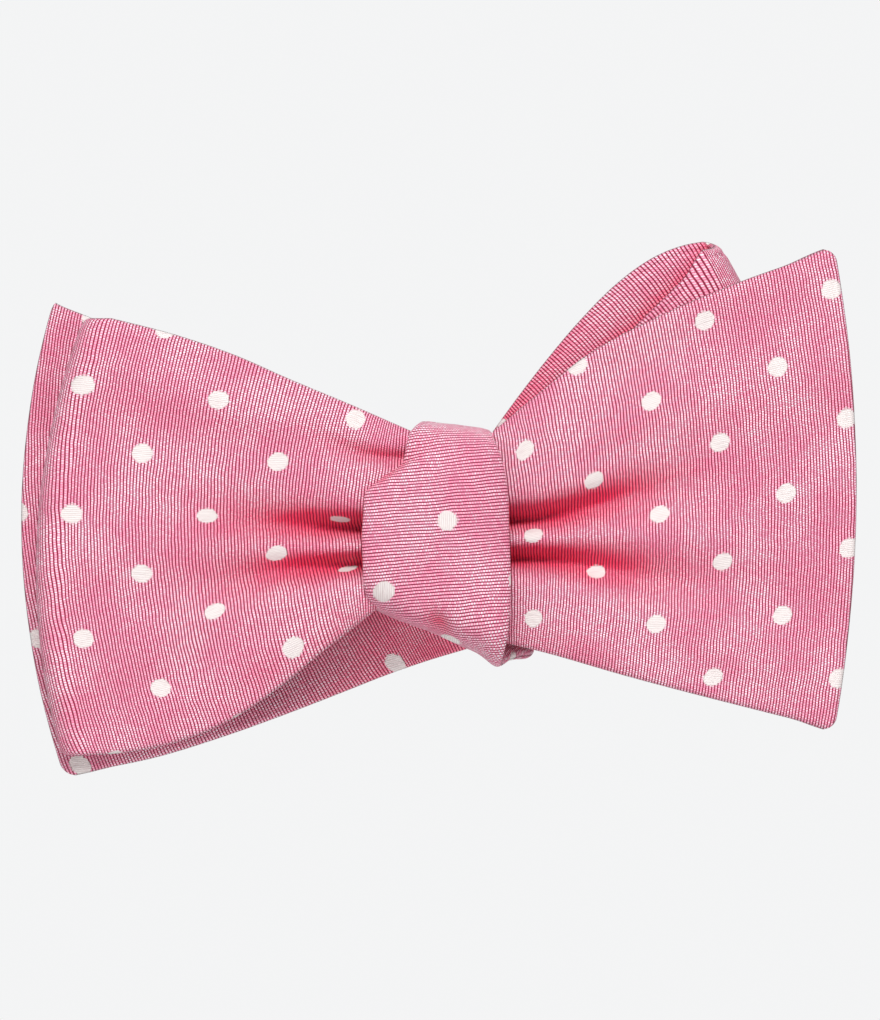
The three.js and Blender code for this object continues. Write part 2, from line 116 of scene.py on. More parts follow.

# ---- the wings ----
# Heights are given at a few distances out from the middle of the bow: low and high are a wing's two edges,
# and centre is the middle of its blade. back_high is the upper edge of a loop's back layer, where it differs.
# root and tip are where each edge starts and ends, tip_y is how far back the tip stands, and bow how far
# its middle stands out past its corners. gap is half the distance between the layers of a loop, at shares
# of the way out, less the pinched share at the top. A valley is
# where a pleat goes in: its path, its depth, how far it reaches, and its width near and far from the knot.
# more_low and more_high are how many times the cloth that the folds show there is, and tuck is how much
# more the valleys hide. The weave is stretched by along, skewed by grain, turned by turned, in degrees,
# and bent round the knot by fan. phase is where a dot lies, and knot_shade how much painted shade reddens the
# wing at the knot.
PLAIN_WING = dict(pinched=0.0, along=1.0, grain=0.0, turned=0, fan=0, tuck=0.0, knot_shade=0.0,
                  more_low=[(14, 1.0), (60, 1)], more_high=[(14, 1.0), (60, 1)])
WINGS = {
    "front_loop": dict(
        PLAIN_WING, side=-1, y=FRONT_Y, tip_y=-0.8, bow=5.4,
        root_low=7, root_high=3.2, tip_low=56.4, tip_high=53,
        low=[(5, -6.6), (10.6, -11.2), (18, -16.6), (25, -22), (33, -27.1), (41.5, -30.5), (50, -32.2),
             (57, -32.7)],
        high=[(3, 15.9), (7.4, 17.7), (14, 20.4), (24, 24.3), (33, 28.0), (42, 30.9), (54, 33.8)],
        gap=[(0, 2.4), (0.3, 3.4), (0.75, 4.4), (1, 3.2)],
        valleys=[
            dict(path=[(7, 1.6), (20, 2.0), (34, 2.6), (45, 4)], depth=5.2, reach=46, narrow=1.5, wide=4.6),
            dict(path=[(7, -3.5), (17, -4.1), (28, -5.4), (40, -9)],
                 depth=4.8, reach=44, narrow=1.4, wide=4.2),
            dict(path=[(3, 12.0), (12, 13.0), (22, 17)], depth=1.5, reach=26, narrow=1.3, wide=3.0),
        ],
        centre=[(7, 2.7), (14, 3.0), (25, 3.8), (35, 3.6), (60, 4.0)],
        along=0.956, phase=(48.7, 0.0), grain=0.08, tuck=1.3,
        more_low=[(10, 0.85), (25, 0.98), (35, 1.12), (46, 1.1), (58, 1)],
        more_high=[(14, 1.04), (25, 1.08), (35, 1.08), (46, 1.04), (58, 1)]),
    "front_end": dict(
        PLAIN_WING, side=1, y=FRONT_Y, tip_y=-3.2, bow=3.3,
        root_low=6, root_high=4.5, tip_low=59.8, tip_high=59.8,
        low=[(5, -14.5), (9.5, -15.6), (15, -16.9), (28, -20.6), (46, -25.3), (60, -28.8)],
        high=[(4, 13.0), (8, 16.4), (14, 21.4), (22.3, 28), (33, 33.8), (45, 38.9), (61, 44.4)],
        valleys=[
            dict(path=[(7, 2.6), (18, 3.6), (28, 6.2), (45, 11)], depth=5.1, reach=50, narrow=1.5, wide=5.0),
            dict(path=[(7, -3.0), (19, -3.4), (28, -5.0), (45, -9)],
                 depth=5.1, reach=48, narrow=1.4, wide=4.8),
        ],
        centre=[(7, -1.1), (61, 7.5)], along=1.018, phase=(57.8, 10.7), grain=-0.015,
        more_low=[(14, 1.1), (24, 1.1), (33, 1.1), (44, 1.1), (60, 1)],
        more_high=[(14, 1.12), (24, 1.1), (33, 1.1), (44, 1.04), (60, 1)]),
    "back_end": dict(
        PLAIN_WING, side=-1, y=BACK_Y, tip_y=1.6, bow=5.6,
        root_low=-4.5, root_high=6, tip_low=57.0, tip_high=58.6,
        low=[(-4, -16.6), (2.3, -18.5), (8.3, -20.6), (14.4, -23), (23.5, -26.5), (33, -29.9), (42, -32.7),
             (57.5, -35.8)],
        high=[(5, 13.2), (30, 24.6), (58.4, 35.8)],
        valleys=[dict(path=path, depth=2.4, reach=40, narrow=1.6, wide=5)
                 for path in ([(7, 1), (34, 3)], [(7, -6), (28, -9)])],
        centre=[(7, 1), (60, 1)], phase=(5.0, 8.6), turned=4.9, knot_shade=0.3),
    "back_loop": dict(
        PLAIN_WING, side=1, y=BACK_Y, tip_y=0.6, bow=4.0,
        root_low=6, root_high=5, tip_low=61.0, tip_high=41.5,
        low=[(5, -9.5), (30, -13.4), (62, -15.6)],
        back_high=[(4, 10.6), (9.8, 18.6), (16, 26.4), (22, 33.2), (28, 38.9), (34, 42.9), (39, 44.7),
                   (42, 45.2)],
        high=[(4, 9), (20, 21.5), (33, 34.4), (36.8, 37.9), (39.1, 40.3), (40.5, 42.6), (42.1, 44.7)],
        gap=[(0, 1.8), (0.4, 3.4), (0.75, 4.4), (1, 3.6)], pinched=0.5,
        valleys=[dict(path=path, depth=2.0, reach=40, narrow=1.5, wide=5)
                 for path in ([(7, 2), (34, 6)], [(7, -4), (34, -6)])],
        centre=[(7, 0), (60, 12)], phase=(7.0, 6.75), fan=12, knot_shade=0.55),
}
PINCHED_FROM = 0.55     # a gap is pinched from this share of the wing's height up
CORNER = 1.8            # radius of a sewn corner
CORNER_REACH = 9        # how far in from the tip the rows give way to the corners
FAN_ACROSS = 30         # how far across the blade the ribs have bent round by a wing's fan
ROWS_PER_LAYER = 104
FOLD_ROWS = 22
COLUMNS = 92
PINCH_START = 8         # the knot's pinch fades away from here
PINCH_END = 36          # to here
LOBE_SWELL = 0.9        # how far the lobes swell beside the knot
LOBE_EDGE = 1.9         # how far their edges turn back there
MIDDLE_DENT = 1.3       # how far the middle of the wing goes in there
CREASE_CENTRE = (-22, 1)    # the shallow creases of a wing fan out from here

# ---- the knot ----
# The wrap's outline from the front: (z, x) up each side, and the heights of its top and bottom,
# at shares of the way from its left side to its right.
KNOT_LEFT = [(-20, -5.4), (-13, -6), (-11, -9.6), (-8.5, -10.9), (-3, -11.4), (5, -11.5), (8.0, -11.2),
             (9.2, -10.0), (10.6, -8.2), (11.5, -6.4), (13.0, -5.4), (15.8, -4.5), (17.9, -2.7)]
KNOT_RIGHT = [(-20, 9.2), (-15, 9.9), (-10, 10.2), (-4, 10.5), (2, 10.5), (8, 10.1), (13, 9.0), (16.4, 7.7)]
KNOT_HIGH = [(0, 18.2), (0.5, 17.6), (1, 16.8)]
KNOT_LOW = [(0, -10.4), (0.1, -11.5), (0.25, -13.7), (0.5, -16.0), (0.75, -17.6), (1, -20.1)]
KNOT_SQUARE = 0.5       # how square its section is: 1 would be an ellipse
KNOT_FAN = 5.0          # how much wider the wrap is behind, at the bottom right
KNOT_CORNER_LIFT = 1.3  # and how much higher its corner is there
KNOT_ROWS = 190
KNOT_COLUMNS = 66
KNOT_CROWN = 1.9        # how far the face's two edges stand back from its middle
KNOT_SLACK = 1.02       # how much larger the wrap's cloth is than the shape that it settles from
KNOT_DOT = (1.1, 2.9)   # where a dot's middle is on the wrap's front
KNOT_TILT = 0.08        # the ribs rise a little to the right
KNOT_LEAN = 0.05        # and the threads that cross them lean to the right

# ---- the pleats inside the knot ----
PLEATS = 6
PLEAT_HALF_DEPTH = 2.4
PLEAT_HALF_CLOTH = 0.8
PLEATED_WIDTH = 45
PLEAT_ROWS = 16
PLEAT_COLUMNS = 90

# ---- the neckband, its strap and its labels; turns are in degrees from the front ----
BAND_START = 1.5
BAND_ENDS = {"left_band": (-1, 76.0), "right_band": (1, 166.0)}
BAND_COLUMNS = 30
BAND_ROWS_PER_DEGREE = 0.9
STRIP_COLUMNS = 26
STRIP_ROUND = 0.35      # how far from its edge a ribbon reaches its full thickness
STRAP_THICK = 0.8
STRAP_RADIUS = STRAP_OUT - STRAP_THICK / 2
STRAP_START = 66
STRAP_HOME = 0.8        # how far the strap runs home after its fold
TAB_START = 158
TAB_HOME = 3
FOLD_RADIUS = 1.15
HOOK_BAR_X = HOOK_OUT - 0.4
RETURN_RADIUS = BAND_OUT - 2 * HALF + STRAP_THICK / 2
RETURN_TURNS = (151.1, 170.9)
LABEL_RADIUS = BAND_OUT - 2 * HALF - 0.4
LABEL_THICK = 0.3
LABEL_ROUND = 0.15
LABEL_TURNS = {"care_label": (120, 148), "size_label": (103, 113)}

# ---- stitches and metal ----
TACK_PITCH = 0.42
TACK_ARCH = 0.4         # how far the middle of a stitch stands above its ends
TACK_SINK = 0.35        # how far its ends sink into the cloth
TACK_HALF_WIDTH = 0.75
TACK_POINTS = 7
THREAD_RADIUS = 0.15
THREAD_SIDES = 6
METAL_ROUND = 0.24      # radius of a fastener's edges
METAL_FLAT = 0.02       # faces that meet at less than this angle are one, in radians
METAL_SHARP = 0.5       # and edges with more than this are rounded

# ---- camera, light and floor; lights and floor are in metres ----
FRAME_HEIGHT = 154.5    # millimetres that the picture's height takes in at the bow
BOW_FACE_Y = -86.0      # this and the camera's two places are in millimetres
CAMERA_AWAY = 1000.0
CAMERA_HEIGHT = 4.5
SENSOR = 36.0
WORLD_LIGHT = 0.38      # what the world gives the cloth
BACKDROP_LIGHT = 0.93   # and how bright the camera sees it
LIGHTS = {"key": ((0.0, -1.0, 0.8), 0.35, 12.5),    # place, size and watts
          "fill": ((-0.5, -1.1, -0.5), 0.8, 8.0),
          "rim": ((0.3, 0.9, 0.9), 0.6, 4.0)}
LIGHT_AIM = (0, -0.08, 0.0)
FLOOR_RADIUS = 2.0
FLOOR_Z = -0.26
FLOOR_SIDES = 64


# ---- small helpers ----
def smooth(x, low, high):
    """0 below low, 1 above high, and a soft rise between them."""
    t = np.clip((x - low) / (high - low), 0, 1)
    return t * t * (3 - 2 * t)


def through(points, x):
    """A smooth curve through a few (x, y) points, straight beyond its ends."""
    px, py = np.array(points, float).T
    x = np.asarray(x, float)
    slope = np.gradient(py, px)
    k = np.clip(np.searchsorted(px, x) - 1, 0, len(px) - 2)
    h = px[k + 1] - px[k]
    t = np.clip((x - px[k]) / h, 0, 1)
    curve = ((1 + 2 * t) * (1 - t) ** 2 * py[k] + t * (1 - t) ** 2 * h * slope[k]
             + t * t * (3 - 2 * t) * py[k + 1] + t * t * (t - 1) * h * slope[k + 1])
    before = np.minimum(x - px[0], 0) * slope[0]
    after = np.maximum(x - px[-1], 0) * slope[-1]
    return curve + before + after


def mix(a, b, t):
    return a + (b - a) * t


def crowded(count):
    """0 to 1 in count steps, closer together toward both ends."""
    t = np.linspace(0, 1, count + 1)
    return mix(t, 0.5 - 0.5 * np.cos(np.pi * t), CROWDING)


def grid_normals(grid):
    normal = np.cross(np.gradient(grid, axis=0), np.gradient(grid, axis=1))
    return normal / np.maximum(np.linalg.norm(normal, axis=2, keepdims=True), 1e-9)


def add_object(name, data):
    made = bpy.data.objects.new(name, data)
    bpy.context.scene.collection.objects.link(made)
    return made


def make_object(name, verts, faces):
    mesh = bpy.data.meshes.new(name)
    mesh.from_pydata((np.asarray(verts) * MM).tolist(), [], faces)
    mesh.polygons.foreach_set("use_smooth", [True] * len(mesh.polygons))
    return add_object(name, mesh)


def between(name, near, far, cloth, fold=None):
    """A closed piece of cloth between two grids of points. cloth is each point's place in the flat cut."""
    rows, columns = near.shape[:2]
    layer = rows * columns
    verts = np.concatenate([near.reshape(-1, 3), far.reshape(-1, 3)])
    i, j = np.meshgrid(np.arange(rows - 1), np.arange(columns - 1), indexing="ij")
    a = (i * columns + j).ravel()
    front = np.stack([a, a + columns, a + columns + 1, a + 1], -1)
    faces = [front, front[:, ::-1] + layer]
    down = np.arange(rows - 1) * columns
    across = np.arange(columns - 1)
    for start, step in ((down, columns), (down[::-1] + 2 * columns - 1, -columns),
                        (across[::-1] + 1, -1), (across + (rows - 1) * columns, 1)):
        faces.append(np.stack([start, start + layer, start + step + layer, start + step], -1))
    piece = make_object(name, verts, np.concatenate(faces).tolist())
    corners = np.empty(len(piece.data.loops), int)
    piece.data.loops.foreach_get("vertex_index", corners)
    places = np.concatenate([cloth.reshape(-1, 2)] * 2)[corners]
    piece.data.uv_layers.new(name="cloth").data.foreach_set("uv", places.astype(np.float32).ravel())
    # fold is painted shade, which the silk's colour reads
    if fold is not None:
        depths = np.concatenate([fold.ravel()] * 2).astype(np.float32)
        piece.data.attributes.new("fold", "FLOAT", "POINT").data.foreach_set("value", depths)
    return piece


def tidy_mesh(piece):
    """Joins the points that meet at a sewn edge and turns all faces outward."""
    bm = bmesh.new()
    bm.from_mesh(piece.data)
    bmesh.ops.remove_doubles(bm, verts=bm.verts, dist=WELD * MM)
    bmesh.ops.recalc_face_normals(bm, faces=bm.faces)
    bm.to_mesh(piece.data)
    bm.free()
    return piece


# ---- materials ----
class Wires:
    """Short names for the shader nodes that the fabrics are made of."""

    def __init__(self, tree):
        self.tree = tree

    def node(self, kind, **values):
        made = self.tree.nodes.new(kind)
        for key, value in values.items():
            setattr(made, key, value)
        return made

    def put(self, socket, value):
        if isinstance(value, bpy.types.NodeSocket):
            self.tree.links.new(value, socket)
        else:
            socket.default_value = value

    def math(self, operation, a, b=0.0):
        made = self.node("ShaderNodeMath", operation=operation)
        self.put(made.inputs[0], a)
        self.put(made.inputs[1], b)
        return made.outputs[0]

    def times(self, a, b):
        return self.math("MULTIPLY", a, b)

    def plus(self, a, b):
        return self.math("ADD", a, b)

    def minus(self, a, b):
        return self.math("SUBTRACT", a, b)

    def wave(self, value, pitch):
        """0 in the gaps and 1 on the crests of ribs that are a pitch apart."""
        return self.math("ABSOLUTE", self.math("SINE", self.times(value, math.pi / pitch)))

    def object_place(self):
        return self.node("ShaderNodeTexCoord").outputs["Object"]

    def cloth(self):
        """The place in the flat cloth, in millimetres: along the blade, and across it."""
        uv = self.node("ShaderNodeUVMap", uv_map="cloth")
        apart = self.node("ShaderNodeSeparateXYZ")
        self.put(apart.inputs[0], uv.outputs[0])
        return apart.outputs[0], apart.outputs[1]

    def round_neck(self, radius):
        """The place on a ribbon that stands round the neck, in millimetres: round it, and its height."""
        apart = self.node("ShaderNodeSeparateXYZ")
        self.put(apart.inputs[0], self.object_place())
        turn = self.math("ARCTAN2", apart.outputs[0], apart.outputs[1])
        return self.times(turn, radius), self.math("DIVIDE", apart.outputs[2], MM)

    def vector(self, x, y):
        made = self.node("ShaderNodeCombineXYZ")
        self.put(made.inputs[0], x)
        self.put(made.inputs[1], y)
        return made.outputs[0]

    def noise(self, vector, scale, detail=2.0):
        made = self.node("ShaderNodeTexNoise")
        self.put(made.inputs["Vector"], vector)
        made.inputs["Scale"].default_value = scale
        made.inputs["Detail"].default_value = detail
        return made.outputs["Fac"]

    def ramp(self, value, low, high, out_low=0.0, out_high=1.0, kind="SMOOTHSTEP"):
        made = self.node("ShaderNodeMapRange", interpolation_type=kind)
        for socket, number in zip(made.inputs, (value, low, high, out_low, out_high)):
            self.put(socket, number)
        return made.outputs[0]

    def blend(self, factor, a, b):
        made = self.node("ShaderNodeMix", data_type="RGBA")
        self.put(made.inputs[0], factor)
        self.put(made.inputs[6], a)
        self.put(made.inputs[7], b)
        return made.outputs[2]

    def coat(self, shader, colour, relief, height, strength):
        """Gives a shader its colour and its bumps, whose height is in metres."""
        bump = self.node("ShaderNodeBump")
        bump.inputs["Strength"].default_value = strength
        bump.inputs["Distance"].default_value = height
        self.put(bump.inputs["Height"], relief)
        self.put(shader.inputs["Base Color"], colour)
        self.put(shader.inputs["Normal"], bump.outputs[0])


def new_material(name, **settings):
    """A material, its wires, and its shader with the given settings."""
    material = bpy.data.materials.new(name)
    material.use_nodes = True
    tree = material.node_tree
    shader = tree.nodes["Principled BSDF"]
    for socket, value in settings.items():
        shader.inputs[socket.replace("_", " ")].default_value = value
    return material, Wires(tree), shader


def woven_threads(w, along, across):
    """The ribs and the threads that cross them, 1 on a crest and 0 in a gap, and a value for each thread."""
    wander = w.noise(w.vector(along, across), 0.2)
    rib_turns = w.math("DIVIDE", w.plus(along, w.times(wander, RIB_WANDER)), RIB_PITCH)
    rib_number = w.math("FLOOR", rib_turns)
    stagger = w.times(w.math("MODULO", rib_number, 2.0), 0.5)
    thread_turns = w.plus(w.math("DIVIDE", across, THREAD_PITCH), stagger)
    speck = w.node("ShaderNodeTexWhiteNoise", noise_dimensions="2D")
    w.put(speck.inputs["Vector"], w.vector(rib_number, w.math("FLOOR", thread_turns)))
    return w.wave(rib_turns, 1), w.wave(thread_turns, 1), speck.outputs["Value"]


def silk_material(name):
    """Ribbed woven silk: rounded ribs across the blade, crossed by finer threads, with woven dots."""
    material, w, shader = new_material(
        name, Roughness=0.5, Sheen_Weight=0.12, Sheen_Roughness=0.4, Specular_IOR_Level=0.3)
    shader.inputs["Sheen Tint"].default_value = (1.0, 0.84, 0.90, 1)
    along, across = w.cloth()
    rib, thread, speck = woven_threads(w, along, across)
    # fold: the painted shade of a crease, 0 to 1, which turns the ribs red and dims the painted glints
    fold = w.node("ShaderNodeAttribute", attribute_name="fold").outputs["Fac"]

    # Painted highlight: a thread glints on the crest of a rib, less in the painted shade of a fold, and
    # unevenly from place to place.
    crest = w.ramp(rib, 0.20, 0.85)
    glint = w.ramp(w.times(crest, thread), 0.24, 0.80)
    zone = w.ramp(w.noise(w.vector(along, across), 0.085, 3.0), 0.34, 0.66, 0.45, 1.0)
    clear = w.minus(1.0, w.times(fold, 0.92))
    glint = w.times(glint, w.times(zone, clear))
    glint = w.times(glint, w.plus(w.times(speck, 0.75), 0.42))

    # Painted shade: a fold turns the ribs' pink toward red; the gaps keep their colour, and painted glints
    # lighten the threads.
    pink = w.blend(fold, RIB_PINK, FOLD_SHADE_RED)
    pink = w.blend(crest, GAP_PINK, pink)
    pink = w.blend(glint, pink, GLINT_PINK)
    mask, satin = dot_pattern(w, along, across, speck)
    colour = w.blend(mask, pink, w.blend(satin, IVORY, IVORY_SHADE))

    weave = w.times(crest, w.plus(w.times(thread, 0.5), 0.5))
    floats = w.minus(1.35, w.times(satin, 0.5))
    height = w.plus(w.times(weave, w.minus(1.0, mask)), w.times(mask, floats))
    w.coat(shader, colour, height, WEAVE_BUMP, 0.9)
    return material


def dot_pattern(w, along, across, speck):
    """1 inside a woven dot, with its edge stepped by the threads, and the shade between its own threads."""
    stepped = w.times(w.math("ROUND", w.math("DIVIDE", across, DOT_THREAD)), DOT_THREAD)
    ragged = w.plus(along, w.times(w.minus(speck, 0.5), DOT_RAGGED))
    nearest = None
    for offset in (0.0, 0.5):
        parts = []
        for value in (ragged, stepped):
            turns = w.plus(w.math("DIVIDE", value, DOT_PITCH), 0.5 - offset)
            part = w.minus(w.math("FRACT", turns), 0.5)
            parts.append(w.math("POWER", w.times(part, DOT_PITCH), 2.0))
        far = w.math("SQRT", w.plus(*parts))
        nearest = far if nearest is None else w.math("MINIMUM", nearest, far)
    mask = w.ramp(nearest, DOT_RADIUS + DOT_EDGE, DOT_RADIUS - DOT_EDGE)
    twist = w.noise(w.vector(w.times(along, 0.6), w.times(across, 3.0)), 1.0)
    shade = w.times(w.minus(1.0, w.wave(across, DOT_THREAD)), 0.7)
    return mask, w.plus(shade, w.ramp(twist, 0.45, 0.75, 0, 0.35))


def wool_material():
    """The interlining: soft undyed wool with an open weave."""
    material, w, shader = new_material("interlining", Roughness=0.95, Sheen_Weight=0.3)
    along, across = w.cloth()
    grid = w.times(w.math("SINE", w.times(along, 5.0)), w.math("SINE", w.times(across, 5.0)))
    fluff = w.noise(w.vector(along, across), 2.0, 4.0)
    shade = w.ramp(w.plus(grid, fluff), -0.5, 1.5, kind="LINEAR")
    w.coat(shader, w.blend(shade, (0.72, 0.66, 0.56, 1), (0.88, 0.84, 0.76, 1)), shade, 0.0001, 0.6)
    return material


def ribbon_material(name, radius=None):
    """Grosgrain: strong ribs across the ribbon.

    With a radius, the ribs are counted round the neck, so that a run that grows longer keeps its rib size.
    """
    material, w, shader = new_material(name, Roughness=0.6, Sheen_Weight=0.25)
    along, across = w.round_neck(radius) if radius else w.cloth()
    rib = w.times(w.wave(along, RIBBON_RIB), 0.8)
    thread = w.times(w.wave(across, RIBBON_THREAD), 0.2)
    fuzz = w.noise(w.vector(along, across), 3.0, 3.0)
    height = w.plus(rib, thread)
    shade = w.ramp(w.times(height, w.plus(fuzz, 0.5)), 0.1, 1.0)
    w.coat(shader, w.blend(shade, (0.45, 0.07, 0.15, 1), (0.80, 0.27, 0.40, 1)), height, WEAVE_BUMP, 0.9)
    return material


def thread_material():
    material, w, shader = new_material("thread", Roughness=0.65, Sheen_Weight=0.4)
    twist = w.noise(w.object_place(), 2600.0, 3.0)
    w.coat(shader, w.blend(twist, (0.42, 0.06, 0.14, 1), (0.70, 0.22, 0.34, 1)), twist, 0.00004, 0.7)
    return material


def metal_material():
    material, w, shader = new_material("plated_metal", Metallic=1.0)
    stretch = w.node("ShaderNodeMapping")
    stretch.inputs["Scale"].default_value = (1.0, 1.0, 14.0)
    w.put(stretch.inputs["Vector"], w.object_place())
    brushed = w.noise(stretch.outputs[0], 900.0, 4.0)
    w.put(shader.inputs["Roughness"], w.ramp(brushed, 0.2, 0.8, 0.2, 0.38, "LINEAR"))
    w.coat(shader, w.blend(brushed, (0.52, 0.51, 0.49, 1), (0.74, 0.73, 0.70, 1)), brushed, 0.00001, 0.4)
    return material


def label_material():
    """Plain white satin ribbon, with no text."""
    material, w, shader = new_material("label", Roughness=0.55, Sheen_Weight=0.4)
    place = w.object_place()
    lines = w.node("ShaderNodeTexWave", bands_direction="Z")
    w.put(lines.inputs["Vector"], place)
    lines.inputs["Scale"].default_value = 1400.0
    lines.inputs["Distortion"].default_value = 0.6
    fluff = w.noise(place, 700.0, 3.0)
    shade = w.times(w.plus(lines.outputs["Fac"], fluff), 0.5)
    white = w.blend(shade, (0.80, 0.77, 0.72, 1), (0.94, 0.92, 0.88, 1))
    w.coat(shader, white, lines.outputs["Fac"], 0.00004, 0.6)
    return material


SILK_FACE = silk_material("silk")
INNER_SILK = silk_material("inner_silk")
WOOL = wool_material()
RIBBON = ribbon_material("ribbon")
RETURN_RIBBON = ribbon_material("return_ribbon", BAND_OUT)
THREAD = thread_material()
METAL = metal_material()
LABEL = label_material()


def seam_profile(edge, along, depth):
    """Share of the full half thickness near a sewn edge: a round bead, then the seam's stitched groove."""
    rise = np.sqrt(1 - (1 - np.clip(edge / EDGE_ROUND, 0, 1)) ** 2)
    stitches = STITCH_MEAN + (1 - STITCH_MEAN) * np.sin(2 * np.pi * along / STITCH_PITCH)
    groove = depth * np.exp(-((edge - SEAM_PLACE) / SEAM_WIDTH) ** 2)
    return rise - groove * stitches


def blade(name, body, middle, normal, cloth, edge,
          fold=None, inside=None, bend=None, groove=SEAM_GROOVE):
    """The three layers of a blade round a middle sheet, which replace the CAD's three.

    normal points to the outer silk, cloth is the place in the flat cut, and edge is how far each point is
    from a sewn edge. fold is the painted shade that reddens the outer silk, 1 deep in a pleat, and inside is
    the same for the inner silk where it differs.
    bend, when given, bakes the pieces' places in instead of attaching them to body; its points are not used.
    groove is how deep the seam's groove is.
    """
    rise = seam_profile(edge, cloth[..., 0], groove)[..., None]
    inside = fold if inside is None else inside
    lining = (HALF - SILK) * np.minimum(rise, 1)
    layers = [
        ("outer_shell", middle + normal * HALF * rise, middle + normal * lining, SILK_FACE, fold),
        ("interlining", middle + normal * WOOL_HALF * rise, middle - normal * WOOL_HALF * rise, WOOL, None),
        ("inner_shell", middle - normal * lining, middle - normal * HALF * rise, INNER_SILK, inside),
    ]
    for layer, near, far, material, painted_red_shade in layers:
        piece = tidy_mesh(between(f"{name}_{layer}_cloth", near, far, cloth, painted_red_shade))
        piece.data.materials.append(material)
        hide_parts(f"{name}_{layer}")
        if bend:
            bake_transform(piece)
        else:
            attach(piece, body)


# ---- cloth simulation ----
def settling_sheet(grid, rest, free):
    """A sheet with the cloth simulation on it, with its rest shape in a shape key."""
    rows, columns = grid.shape[:2]
    i, j = np.meshgrid(np.arange(rows - 1), np.arange(columns - 1), indexing="ij")
    a = (i * columns + j).ravel()
    faces = np.stack([a, a + columns, a + columns + 1, a + 1], -1).tolist()
    mesh = bpy.data.meshes.new("settling")
    mesh.from_pydata((grid.reshape(-1, 3) * SETTLE_SCALE).tolist(), [], faces)
    sheet = add_object("settling", mesh)
    pins = sheet.vertex_groups.new(name="held")
    for index, share in enumerate(free.ravel()):
        pins.add([index], float(1 - share), "REPLACE")
    sheet.shape_key_add(name="held_shape")
    rest_key = sheet.shape_key_add(name="rest")
    rest_key.data.foreach_set("co", (rest.reshape(-1, 3) * SETTLE_SCALE).astype(np.float32).ravel())
    cloth = sheet.modifiers.new("cloth", "CLOTH")
    values = dict(quality=7, mass=0.3, tension_stiffness=18, compression_stiffness=18, shear_stiffness=6,
                  bending_stiffness=2.5, tension_damping=12, compression_damping=12, shear_damping=12,
                  bending_damping=2, air_damping=3, vertex_group_mass="held", rest_shape_key=rest_key)
    for key, value in values.items():
        setattr(cloth.settings, key, value)
    cloth.settings.effector_weights.gravity = 0
    cloth.collision_settings.use_collision = False
    cloth.point_cache.frame_end = SETTLE_FRAMES
    return sheet


def settle(grid, rest, free):
    """Lets a sheet find its own folds, with a cloth simulation.

    rest is the shape that the cloth tries to get back to: a wing's flat cut, or the knot's wrap a little
    larger. free is 0 where the cloth is held and 1 where it may move.
    """
    sheet = settling_sheet(grid, rest, free)
    for step in range(1, SETTLE_FRAMES + 1):
        bpy.context.scene.frame_set(step)
    settled = sheet.evaluated_get(bpy.context.evaluated_depsgraph_get()).to_mesh()
    points = np.empty(grid.size, np.float32)
    settled.vertices.foreach_get("co", points)
    bpy.context.scene.frame_set(1)
    mesh = sheet.data
    bpy.data.objects.remove(sheet)
    bpy.data.meshes.remove(mesh)
    move = points.reshape(grid.shape) / SETTLE_SCALE - grid
    for _ in range(SETTLE_SMOOTHING):
        inner = move[1:-1, 1:-1]
        around = move[2:, 1:-1] + move[:-2, 1:-1] + move[1:-1, 2:] + move[1:-1, :-2]
        inner += 0.5 * (around / 4 - inner)
    reach = np.maximum(np.linalg.norm(move, axis=2, keepdims=True), 1e-9)
    return grid + move / reach * SETTLE_CAP * np.tanh(reach / SETTLE_CAP) * free[..., None]


# ---- the wings ----
def wing_relief(wing, x, z, low, high):
    """How far the cloth stands toward the viewer: rounded lobes parted by the pinched valleys.

    Also how deep in a valley each point is, from 0 to 1.
    """
    near_knot = 1 - smooth(x, PINCH_START, PINCH_END)
    share = (2 * z - low - high) / np.maximum(high - low, 1e-6)
    relief = LOBE_SWELL * near_knot - LOBE_EDGE * near_knot * np.abs(share) ** 3
    relief -= MIDDLE_DENT * (1 - smooth(x, 9, 30)) * np.exp(-((z + 0.6) / 5.0) ** 2)
    deep = np.zeros_like(x)
    for valley in wing["valleys"]:
        centre = through(valley["path"], x)
        faded = smooth(x, PINCH_START, valley["reach"])
        width = mix(valley["narrow"], valley["wide"], faded)
        dent = np.exp(-(np.abs(z - centre) / width) ** 1.6) * (1 - faded)
        relief -= valley["depth"] * dent
        deep = np.maximum(deep, dent * min(valley["depth"] / 4, 1))
    turn = np.arctan2(z - CREASE_CENTRE[1], x - CREASE_CENTRE[0])
    creases = 0.34 * np.sin(21 * turn + 1.1) + 0.22 * np.sin(34 * turn + x / 14)
    relief += creases * smooth(x, 10, 30) * (1 - 0.5 * smooth(x, 36, 62))
    relief += 0.35 * np.sin(x / 10.5 + z / 15.0) * smooth(x, 14, 44)
    return relief, deep


def wing_stations(folded):
    """Pairs of (part of the way out, turn round the fold); the turn is 0 in front and pi at the back."""
    out = crowded(ROWS_PER_LAYER)
    if not folded:
        return [(f, 0.0) for f in out]
    front = [(f, 0.0) for f in np.linspace(0, 1, ROWS_PER_LAYER)]
    fold = [(1.0, t) for t in np.linspace(0, math.pi, FOLD_ROWS)[1:-1]]
    return front + fold + [(f, math.pi) for f in np.linspace(1, 0, ROWS_PER_LAYER * 2 // 3)]


